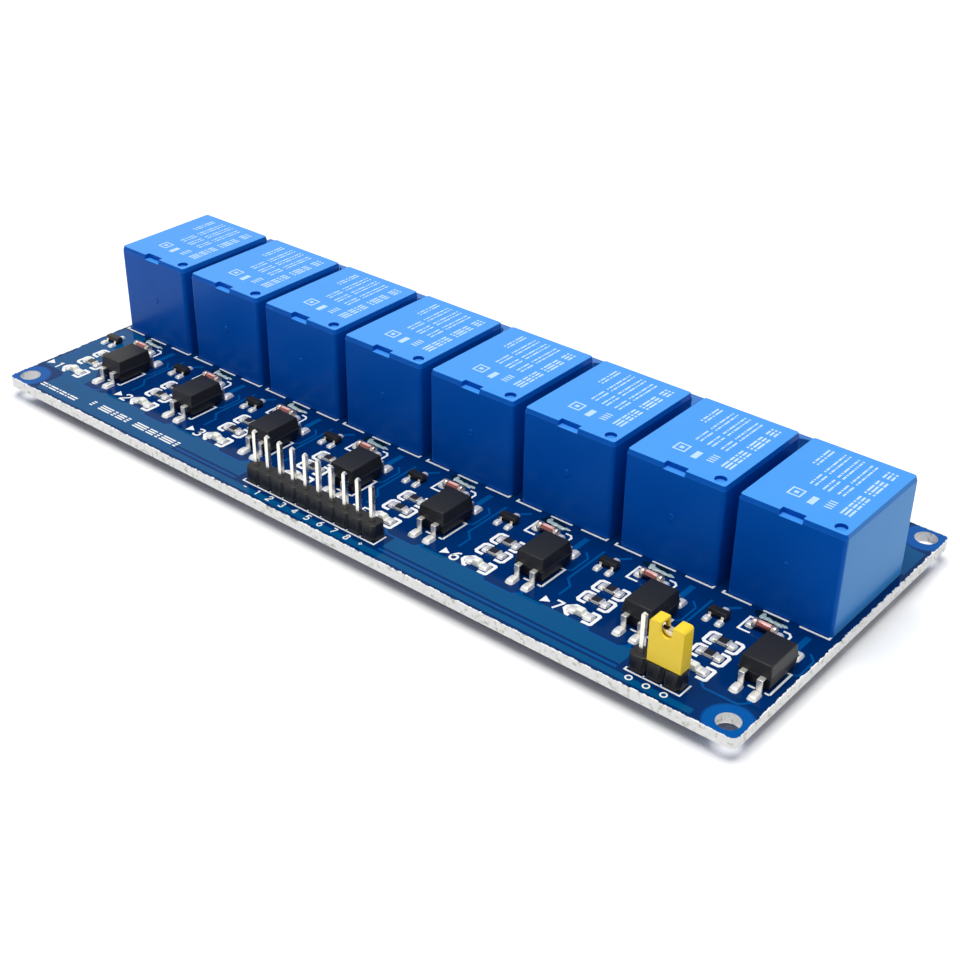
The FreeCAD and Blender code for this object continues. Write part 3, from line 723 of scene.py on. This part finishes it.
# Screw terminals
def make_terminals():
    """Eight like housings: a sloped profile along X, with a chamber, a screw well and a pin way per pole."""
    profile = [(TERMINAL_FRONT, BOARD_T), (TERMINAL_BACK, BOARD_T),
               (TERMINAL_BACK, TERMINAL_TOP - SLOPE_DROP),
               (TERMINAL_BACK - SLOPE_DEPTH, TERMINAL_TOP), (TERMINAL_FRONT, TERMINAL_TOP)]
    points, faces = prism_form(profile, -TERMINAL_W / 2, TERMINAL_W / 2)
    well = ring_form([(SCREW_R + 0.15, 0), (SCREW_R + 0.15, 8)], 40)
    cuts = [box_form(-CHAMBER_HALF_W, CHAMBER_HALF_W, CHAMBER_FRONT, TERMINAL_BACK + 1,
                     CHAMBER_LOW, CHAMBER_HIGH),
            shift(well, 0, CAGE_Y, WELL_LOW),
            box_form(-PIN_WAY_HALF, PIN_WAY_HALF, CAGE_Y - PIN_WAY_HALF, CAGE_Y + PIN_WAY_HALF,
                     BOARD_T - 0.6, CHAMBER_LOW + 0.2)]
    block = carved((points[:, [2, 0, 1]], faces), [shift(cut, pole) for pole in POLES for cut in cuts])
    for number, x in enumerate(TERMINAL_CENTRES, 1):
        make_piece(f"terminal_housing_{number}", [shift(block, x)], TERMINAL_BLUE,
                   replaces=[f"screw_terminal_{number}"], rounded=(0.14, 3, 40))


def make_screws():
    """Round slotted screw of every pole, with a chamfered head."""
    shank = ring_form([(SHANK_R, SCREW_LOW), (SHANK_R, SCREW_NECK - 0.2), (SCREW_R, SCREW_NECK),
                       (SCREW_R, SCREW_TOP - 0.2), (SCREW_R - 0.2, SCREW_TOP)], 40)
    slot = box_form(-SCREW_SLOT_HALF, SCREW_SLOT_HALF, -2.5, 2.5, SCREW_SLOT_LOW, SCREW_TOP + 0.9)
    screw = carved(shank, [slot])
    screws = [shift(screw, x + pole, CAGE_Y) for x in TERMINAL_CENTRES for pole in POLES]
    make_piece("terminal_screw_set", screws, ZINC, replaces=["terminal_screws"],
               rounded=(0.06, 2, 50))


make_terminals()
make_screws()


# Jumper cap
def arc(x, z, radius, start, end, count=8):
    """Points along an arc, with its angles in degrees."""
    angle = np.radians(np.linspace(start, end, count))
    return list(zip(x + radius * np.cos(angle), z + radius * np.sin(angle)))


def make_cap():
    """Cap with round corners and a U notch, hollow for its clip: a front outline carried along Y."""
    half_w = 2.45
    half_d = 1.075
    low = 4.19
    high = low + 6.2
    corner = 0.45
    notch = 0.8
    notch_edge = 0.12
    notch_middle = high - 1.85 + notch
    wall = 0.4
    roof = 0.35
    outline = [(CAP_X - half_w, low), (CAP_X + half_w, low)]
    outline += arc(CAP_X + half_w - corner, high - corner, corner, 0, 90)
    outline += [(CAP_X + notch + notch_edge, high), (CAP_X + notch, high - notch_edge)]
    outline += arc(CAP_X, notch_middle, notch, 0, -180, 16)
    outline += [(CAP_X - notch, high - notch_edge), (CAP_X - notch - notch_edge, high)]
    outline += arc(CAP_X - half_w + corner, high - corner, corner, 90, 180)
    points, faces = prism_form(outline, -(HEADER_Y + half_d), -(HEADER_Y - half_d))
    shell = (np.column_stack([points[:, 0], -points[:, 2], points[:, 1]]), faces)
    hollow = box_form(CAP_X - half_w + wall, CAP_X + half_w - wall, HEADER_Y - half_d + wall,
                      HEADER_Y + half_d - wall, low - 1, high - roof)
    make_piece("jumper_cap_shell", [carved(shell, [hollow])], CAP_YELLOW,
               replaces=["jumper_cap"], rounded=(0.2, 4, 40))


make_cap()


# Diodes and resistors
def diode_form(profile):
    """Form turned about the diode's line along X, from a profile of (radius, distance along it) pairs."""
    points, faces = ring_form(profile, 28)
    return shift((points[:, [2, 0, 1]], faces), DIODE_X, DIODE_Y, BOARD_T + DIODE_R)


def make_diodes():
    """Glass tube with domed metal caps at both ends, lying on the board."""
    end = DIODE_L / 2
    glass = [(0.5, -1.2), (0.6, -1.12), (0.62, -1.0), (0.62, 1.0), (0.6, 1.12), (0.5, 1.2)]
    caps = ([(0.45, -end), (0.64, -end + 0.08), (DIODE_R, -end + 0.2), (DIODE_R, -1.15), (0.6, -1.05)],
            [(0.6, 1.05), (DIODE_R, 1.15), (DIODE_R, end - 0.2), (0.64, end - 0.08), (0.45, end)])
    make_piece("diode_glass_set", at_channels([diode_form(glass)]), DIODE_GLASS,
               replaces=["flyback_diodes"])
    make_piece("diode_cap_set", at_channels([diode_form(cap) for cap in caps]), DIODE_CAP)


def make_resistors():
    """Ceramic chips with a dark film on top and tinned ends."""
    ceramic = []
    film = []
    ends = []
    x = COLUMN_X
    film_end = 0.62
    chip_top = BOARD_T + 0.5
    for y in RESISTOR_ROWS:
        ceramic.append(box_form(x - 0.9, x + 0.9, y - 0.6, y + 0.6, BOARD_T, BOARD_T + 0.44))
        film.append(box_form(x - film_end, x + film_end, y - 0.57, y + 0.57, BOARD_T + 0.4, chip_top))
        for x0, x1 in ((x - 1.0, x - film_end), (x + film_end, x + 1.0)):
            ends.append(box_form(x0, x1, y - 0.625, y + 0.625, BOARD_T, chip_top))
    make_piece("resistor_ceramic_set", at_channels(ceramic), CHIP_CERAMIC,
               replaces=["chip_resistors"], rounded=[0.04])
    make_piece("resistor_film_set", at_channels(film), CHIP_BLACK, rounded=[0.03])
    make_piece("resistor_end_set", at_channels(ends), TIN, rounded=[0.07])


make_diodes()
make_resistors()


# Solder
def surface_joints():
    """Solder mounds at the feet and ends of one channel's surface pieces."""
    pads = [(OPTO_X + lead, OPTO_Y + foot, 0.68, 1.0, 0.5)
            for lead in (-OPTO_LEAD_X, OPTO_LEAD_X) for foot in (-OPTO_FOOT_Y, OPTO_FOOT_Y)]
    pads += [(TRANSISTOR_X + side * TRANSISTOR_LEAD_X, TRANSISTOR_Y + way * TRANSISTOR_FOOT_Y, 0.5, 0.7, 0.36)
             for side, way in ((-1, -1), (1, -1), (0, 1))]
    for side in (-1, 1):
        pads += [(COLUMN_X + side * 1.3, y, 0.6, 0.7, 0.36) for y in RESISTOR_ROWS]
        pads.append((COLUMN_X + side * 1.3, LED_Y, 0.72, 0.78, 0.42))
        pads.append((DIODE_X + side * 2.0, DIODE_Y, 0.62, 0.72, 0.5))
    return [dome(*pad) for pad in pads]


def pin_joint(x, y, pad, pin):
    """Solder cone round a pin on the board's underside.

    Its radius falls from the pad's to the pin's with the square root of the way down: a hollow flank.
    """
    way = np.linspace(0, 1, 7)
    radius = pad + (pin - pad) * np.sqrt(way)
    depth = -1.15 * way
    profile = [(0.0, 0.05), (pad, 0.02)] + list(zip(radius, depth)) + [(pin * 0.6, -1.2)]
    return shift(ring_form(profile[::-1], 16), x, y)


def underside_joints():
    """Joints of every relay pin, terminal pin and header pin."""
    relay = [pin_joint(0.0, RELAY_FRONT + 2.4, 1.25, 0.45)]
    for x in (-RELAY_PIN_X, RELAY_PIN_X):
        relay += [pin_joint(x, RELAY_FRONT + 4.4, 1.2, 0.45), pin_joint(x, RELAY_BACK - 2.5, 1.3, 0.45)]
    forms = at_channels(relay)
    forms += [pin_joint(x + pole, CAGE_Y, 1.25, 0.5) for x in TERMINAL_CENTRES for pole in POLES]
    for centre, poles in ((CONTROL_X, CONTROL_POLES), (JUMPER_X, JUMPER_POLES)):
        forms += [pin_joint(x, HEADER_Y, 0.9, 0.36) for x in centre + spread(poles, HEADER_PITCH)]
    return forms


make_piece("surface_solder", at_channels(surface_joints()), SOLDER)
make_piece("underside_solder", underside_joints(), SOLDER)


def resin_pool(x, y, half_x, half_y, height, tail, spin):
    """Low uneven pool of resin between a relay's foot and its diode.

    Over an angle and a share of the radius, the outline is an oval of the two half sizes. It swells and
    shrinks with the third and fifth turn of the angle, and the tail draws it out at +X. The height at a share
    is the middle's times one less the fourth power of that share.
    """
    angle = np.linspace(0, 2 * math.pi, 40, endpoint=False)
    share = np.array([1.0, 0.97, 0.9, 0.78, 0.6, 0.35])
    swell = 1 + 0.1 * np.sin(3 * angle + spin) + 0.07 * np.sin(5 * angle - 2 * spin)
    reach = 1 + tail * np.clip(np.cos(angle), 0, 1) ** 8
    across = np.outer(share, half_x * np.cos(angle) * swell * reach)
    along = np.outer(share, half_y * np.sin(angle) * swell)
    rise = np.outer(height * (1 - share ** 4), np.ones(len(angle)))
    points = np.stack([x + across, y + along - 0.09 * across, BOARD_T - 0.005 + rise], -1)
    return points.reshape(-1, 3), wall_faces(len(share), len(angle))


# Ridges of one channel's resin, made paler as a painted highlight: their place and half sizes along and
# across, and their height
RESIN_RIDGES = (
    (-1.35, -4.95, 0.45, 0.7, 0.2),
    (-0.4, -5.3, 1.05, 0.4, 0.26),
    (0.8, -5.35, 1.0, 0.36, 0.22),
    (1.8, -5.15, 0.6, 0.26, 0.14),
)
# The film's near-black is painted shade and a painted reflection, and the ridges' pale tone a painted
# highlight
make_piece("relay_foot_resin_painted_dark", [
    resin_pool(x - 0.4, -4.95, 2.35, 0.95, 0.09, 0.15, 1.7 * number) for number, x in enumerate(CENTRES)],
    RESIN_FILM_PAINTED_DARK)
make_piece("relay_foot_resin_painted_highlight", [
    resin_pool(x + across, *ridge, 0.05, 2.3 * number + across)
    for number, x in enumerate(CENTRES) for across, *ridge in RESIN_RIDGES], RESIN_RIDGE_PAINTED_HIGHLIGHT)

# Copper under the mask
COPPER_Z0 = BOARD_T - 0.01
COPPER_Z1 = BOARD_T + 0.02


def pour_edge(channels):
    """Back edge of a front pour from right to left, along the track in front of each of these channels."""
    step = [(6.3, -21.3), (5.4, -22.2), (0.7, -22.2), (-0.6, -21.3)]
    return [(CENTRES[channel] + x, y) for channel in channels for x, y in step]


COPPER_POURS = (
    [(-62.5, -27.4), (62.3, -27.4), (62.3, -26.3), (-31.0, -26.3), (-31.0, -25.0), (-17.4, -25.0),
     (-17.4, -21.3)] + pour_edge((2, 1)) + [(-52.0, -21.3), (-53.0, -21.9), (-57.4, -21.9), (-57.4, -19.5),
     (-61.4, -15.5), (-62.2, -10.0), (-62.2, -4.4), (-68.3, -4.4), (-68.3, -21.4), (-63.4, -21.4),
     (-62.5, -22.3)],
    [(11.0, -25.0), (50.6, -25.0), (50.6, -21.3)] + pour_edge((6, 5, 4))[:-2] + [(11.0, -22.2)],
    [(61.4, 15.9), (68.3, 15.2), (68.3, 21.6), (66.2, 21.9), (63.9, 22.9), (62.9, 24.4), (61.4, 24.4)],
)


def copper_track(path, width):
    """One track under the mask."""
    return band(path, width, COPPER_Z0, COPPER_Z1 + 0.006)


def channel_tracks():
    """Tracks that show round one channel's pieces."""
    paths = [
        ([(-0.6, -19.6), (-0.6, -20.9), (0.7, -22.2), (5.4, -22.2), (6.3, -21.3)], 0.35),
        ([(6.3, -19.0), (6.3, -21.3)], 0.6),
        ([(7.2, -8.0), (8.3, -9.1), (8.3, -12.6), (7.0, -13.9)], 0.3),
        ([(-8.2, -6.2), (-8.2, -14.5), (-6.9, -15.8), (-6.9, -18.2)], 0.35),
        ([(-4.4, -5.2), (-6.2, -7.0)], 0.5),
        ([(5.4, -5.2), (5.4, -8.4)], 0.9),
    ]
    return [copper_track(path, width) for path, width in paths]


make_piece("copper_pours", [prism_form(outline, COPPER_Z0, COPPER_Z1) for outline in COPPER_POURS],
           POUR_MASK, smooth=False)
make_piece("copper_tracks", at_channels(channel_tracks()) + [
    copper_track([(-30.6, -25.65), (-17.4, -25.65)], 0.35),
    copper_track([(11.0, -25.65), (50.6, -25.65)], 0.45)], TRACK_MASK, smooth=False)

# White print on the board
PRINT_Z0 = BOARD_T - 0.01
PRINT_Z1 = BOARD_T + 0.045


def print_line(path, width, closed=False):
    """One printed line on the board."""
    return band(path, width, PRINT_Z0, PRINT_Z1, closed)


def bracket(x0, x1, y0, y1, corner):
    """Path of three sides of a box with cut corners, open towards x0."""
    x2 = x1 - math.copysign(corner, x1 - x0)
    return [(x0, y0), (x2, y0), (x1, y0 - corner), (x1, y1 + corner), (x2, y1), (x0, y1)]


def channel_print():
    """Outlines round one channel's pieces."""
    thin = [
        [(-8.1, -3.3), (-8.1, -3.9), (-3.75, -3.9)],
        [(-1.96, -3.9), (1.75, -3.9)],
        [(3.3, -3.9), (7.5, -3.9), (7.5, -3.3)],
        [(-1.5, -6.13), (-2.55, -6.13), (-2.55, -9.18), (-0.8, -9.18)],
        [(2.3, -6.13), (3.15, -6.13), (3.6, -6.58), (3.6, -8.73), (3.15, -9.18), (2.3, -9.18)],
        [(7.5, -18.3), (7.5, -13.2), (6.5, -13.2)],
        [(7.5, -18.3), (6.8, -18.3)],
        [(4.5, -18.3), (5.5, -18.3)],
    ]
    thick = []
    for y, left, right in ((-11.95, 0.3, 0.3), (-15.15, 0.3, 0.3), (-18.65, 0.9, 0.15)):
        thick.append(bracket(-3.2, -4.55, y, y - 2.35, left))
        thick.append(bracket(-1.2, 0.15, y, y - 2.35, right))
    return [print_line(line, 0.3) for line in thin] + [print_line(line, 0.48) for line in thick]


def header_print(x0, x1, poles, centre):
    """Outline in front of a header and up its right side, with a tick between two poles."""
    y = HEADER_Y - 1.5
    forms = [print_line([(x0, y + 0.6), (x0, y), (x1, y), (x1, y + 2.5)], 0.24)]
    ticks = centre + spread(poles - 1, HEADER_PITCH)
    return forms + [print_line([(x, y), (x, y + 0.4)], 0.22) for x in ticks]


# Strokes of the plain numbers and signs, in parts of their height from the foot of their left side
STROKES = {
    "1": ([(0.14, 0.78), (0.3, 0.93)], [(0.36, 1.0), (0.36, 0.0)]),
    "2": ([(0.0, 0.74), (0.06, 0.92), (0.22, 1.0), (0.4, 1.0), (0.54, 0.92), (0.58, 0.74), (0.52, 0.58),
           (0.04, 0.12), (0.0, 0.0), (0.6, 0.0)],),
    "3": ([(0.0, 0.9), (0.16, 1.0), (0.42, 1.0), (0.55, 0.9), (0.57, 0.72), (0.46, 0.58), (0.24, 0.54)],
          [(0.24, 0.54), (0.5, 0.48), (0.6, 0.3), (0.56, 0.1), (0.42, 0.0), (0.16, 0.0), (0.0, 0.1)]),
    "4": ([(0.44, 0.0), (0.44, 1.0)], [(0.42, 0.98), (0.0, 0.34), (0.02, 0.28), (0.64, 0.28)]),
    "5": ([(0.56, 1.0), (0.08, 1.0), (0.05, 0.56), (0.22, 0.63), (0.4, 0.62), (0.56, 0.5), (0.6, 0.32),
           (0.54, 0.1), (0.4, 0.0), (0.16, 0.0), (0.0, 0.1)],),
    "6": ([(0.5, 1.0), (0.26, 0.9), (0.08, 0.64), (0.0, 0.32), (0.06, 0.1), (0.22, 0.0), (0.4, 0.0),
           (0.55, 0.1), (0.6, 0.3), (0.55, 0.5), (0.4, 0.6), (0.22, 0.58), (0.05, 0.42)],),
    "7": ([(0.0, 1.0), (0.58, 1.0), (0.58, 0.9), (0.24, 0.0)],),
    "8": ([(0.3, 0.54), (0.1, 0.64), (0.04, 0.8), (0.14, 0.96), (0.3, 1.0), (0.46, 0.96), (0.56, 0.8),
           (0.5, 0.64), (0.3, 0.54), (0.1, 0.44), (0.0, 0.26), (0.08, 0.07), (0.3, 0.0), (0.52, 0.07),
           (0.6, 0.26), (0.5, 0.44), (0.3, 0.54)],),
    "-": ([(0.05, 0.5), (0.55, 0.5)],),
    "+": ([(0.05, 0.5), (0.55, 0.5)], [(0.3, 0.25), (0.3, 0.75)]),
}


def plain_number(sign, x, y, height):
    """A plain number or sign on the board, drawn in strokes, with the middle of its foot at a place."""
    return [print_line(np.asarray(path) * height + [x - 0.3 * height, y], 0.17 * height)
            for path in STROKES[sign]]


# Rows of plain marks in the place of the board's name and batch, as on the relays' tops
BOARD_ROWS = (
    ("1 3121 32131", -24.9, 1.3, -51.6, -30.8),
    ("2131213", -25.9, 0.85, -63.0, -54.0),
)
BOARD_ROW_STROKE = 0.28
JUMPER_RING_Y = -26.45
JUMPER_RING_R = 0.42


def number_print():
    """Plain numbers of the channels and of the header's pins, and plain marks for the other labels."""
    forms = []
    for number, x in enumerate(CENTRES, 1):
        forms += plain_number(str(number), x - 5.7, -21.15, 1.85)
        arrow = [(x - 8.0, -21.0), (x - 6.75, -20.25), (x - 8.0, -19.5)]
        forms.append(prism_form(arrow, PRINT_Z0, PRINT_Z1))
    for sign, x in zip("-12345678+", CONTROL_X + spread(CONTROL_POLES, HEADER_PITCH)):
        forms += plain_number(sign, x, -27.0, 1.1)
    angle = np.linspace(0, 2 * math.pi, 20, endpoint=False)
    ring = np.column_stack([np.cos(angle), np.sin(angle)]) * JUMPER_RING_R
    for x in JUMPER_X + spread(JUMPER_POLES, HEADER_PITCH):
        forms.append(print_line(ring + [x, JUMPER_RING_Y], 0.2, True))
    for row in BOARD_ROWS:
        forms += [print_line(path, BOARD_ROW_STROKE) for path in mark_row(*row, BOARD_ROW_STROKE)]
    return forms


make_piece("board_print", at_channels(channel_print())
           + header_print(-16.05, 9.85, CONTROL_POLES, CONTROL_X)
           + header_print(51.6, 59.6, JUMPER_POLES, JUMPER_X) + number_print(),
           SILK_WHITE, smooth=False)

# Floor, light and camera: what the surroundings give as light, what reflections see of them overhead, and
# how much brighter than it is lit the floor is seen, near the board and far from it
WORLD_LEVEL = 0.45
CEILING_LEVEL = 0.5
FLOOR_GAIN = 1.24
FAR_FLOOR_GAIN = 2.5


def make_floor():
    """Wide white floor under the lowest pins, lit plainly.

    Camera and reflections see its colour brighter, so that it is white where no shadow lies, and more so with
    the distance, as the lamps' light falls off.
    """
    half = 3.0
    z = -RELAY_PIN_TAIL * MM
    mesh = bpy.data.meshes.new("floor")
    corners = [(-half, -half, z), (half, -half, z), (half, half, z), (-half, half, z)]
    mesh.from_pydata(corners, [], [(0, 1, 2, 3)])
    floor = add_object("floor", mesh)
    material, add, place = start_material("paper_floor")
    speck = add("ShaderNodeTexNoise", sockets={"Vector": place, "Scale": 30.0})
    paper = add("ShaderNodeMix", COLOURS, {0: speck, 6: linear("#f2f2f2"), 7: linear("#f7f7f7")})
    path = add("ShaderNodeLightPath").outputs
    seen = add("ShaderNodeMath", {"operation": "MAXIMUM"}, {
        0: path["Is Camera Ray"], 1: path["Is Glossy Ray"]})
    seen = add("ShaderNodeMath", {"operation": "MAXIMUM"}, {0: seen, 1: path["Is Transmission Ray"]})
    distance = add("ShaderNodeVectorMath", {"operation": "LENGTH"}, {0: place})
    brighter = add("ShaderNodeMapRange", SOFT_ENDS, {
        "Value": distance, "From Min": 0.1, "From Max": 1.0, "To Min": FLOOR_GAIN, "To Max": FAR_FLOOR_GAIN})
    gain = add("ShaderNodeMapRange", sockets={"Value": seen, "To Min": 1.0, "To Max": brighter})
    shown = add("ShaderNodeVectorMath", {"operation": "SCALE"}, {0: paper, 3: gain})
    diffuse = add("ShaderNodeBsdfDiffuse", sockets={"Color": shown})
    add("ShaderNodeOutputMaterial", sockets={"Surface": diffuse})
    mesh.materials.append(material)


def make_world():
    """Even pale surroundings: dim as a light, and white where the camera or a reflection sees them.

    What reflections see fades above the relays' reflected rays, as under a studio's dark ceiling.
    """
    world = bpy.data.worlds.new("studio")
    world.use_nodes = True
    world.node_tree.nodes.clear()
    add = partial(node, world.node_tree)
    path = add("ShaderNodeLightPath").outputs
    way = add("ShaderNodeTexCoord").outputs["Generated"]
    rise = add("ShaderNodeSeparateXYZ", sockets={0: way}).outputs["Z"]
    above = add("ShaderNodeMapRange", SOFT_ENDS, {
        "Value": rise, "From Min": 0.5, "From Max": 0.66, "To Min": 1.0, "To Max": CEILING_LEVEL})
    mirrored = add("ShaderNodeMath", {"operation": "MULTIPLY"}, {0: path["Is Glossy Ray"], 1: above})
    plain = add("ShaderNodeMath", {"operation": "MAXIMUM"}, {
        0: path["Is Camera Ray"], 1: path["Is Transmission Ray"]})
    seen = add("ShaderNodeMath", {"operation": "MAXIMUM"}, {0: plain, 1: mirrored})
    level = add("ShaderNodeMath", {"operation": "MAXIMUM"}, {0: seen, 1: WORLD_LEVEL})
    back = add("ShaderNodeBackground", sockets={"Color": (1, 1, 1, 1), "Strength": level})
    add("ShaderNodeOutputWorld", sockets={"Surface": back})
    bpy.context.scene.world = world


def make_lamp(name, place, size, power):
    """Square soft lamp at a place in metres, which looks at the middle of the board."""
    light = bpy.data.lights.new(name, "AREA")
    light.size = size
    light.energy = power
    lamp = add_object(name, light)
    x, y, z = place / np.linalg.norm(place)
    lamp.location = place
    lamp.rotation_euler = (math.acos(z), 0, math.atan2(-x, y))


def make_camera():
    """Camera solved from the photograph: 58.3 mm lens on a 36 mm wide square frame."""
    data = bpy.data.cameras.new("camera")
    data.lens = 58.338
    data.sensor_width = 36.0
    data.clip_start = 0.01
    data.clip_end = 20.0
    camera = add_object("camera", data)
    camera.location = (0.133082, -0.152441, 0.119552)
    camera.rotation_euler = [math.radians(angle) for angle in (58.6576, -0.5832, 39.8204)]
    bpy.context.scene.camera = camera


make_floor()
make_world()
make_lamp("overhead", (0.0, -0.06, 0.69), 0.5, 3.6)
make_lamp("low front", (-0.38, -0.6, 0.17), 0.4, 4.8)
make_camera()
bpy.context.scene.view_settings.view_transform = "Standard"
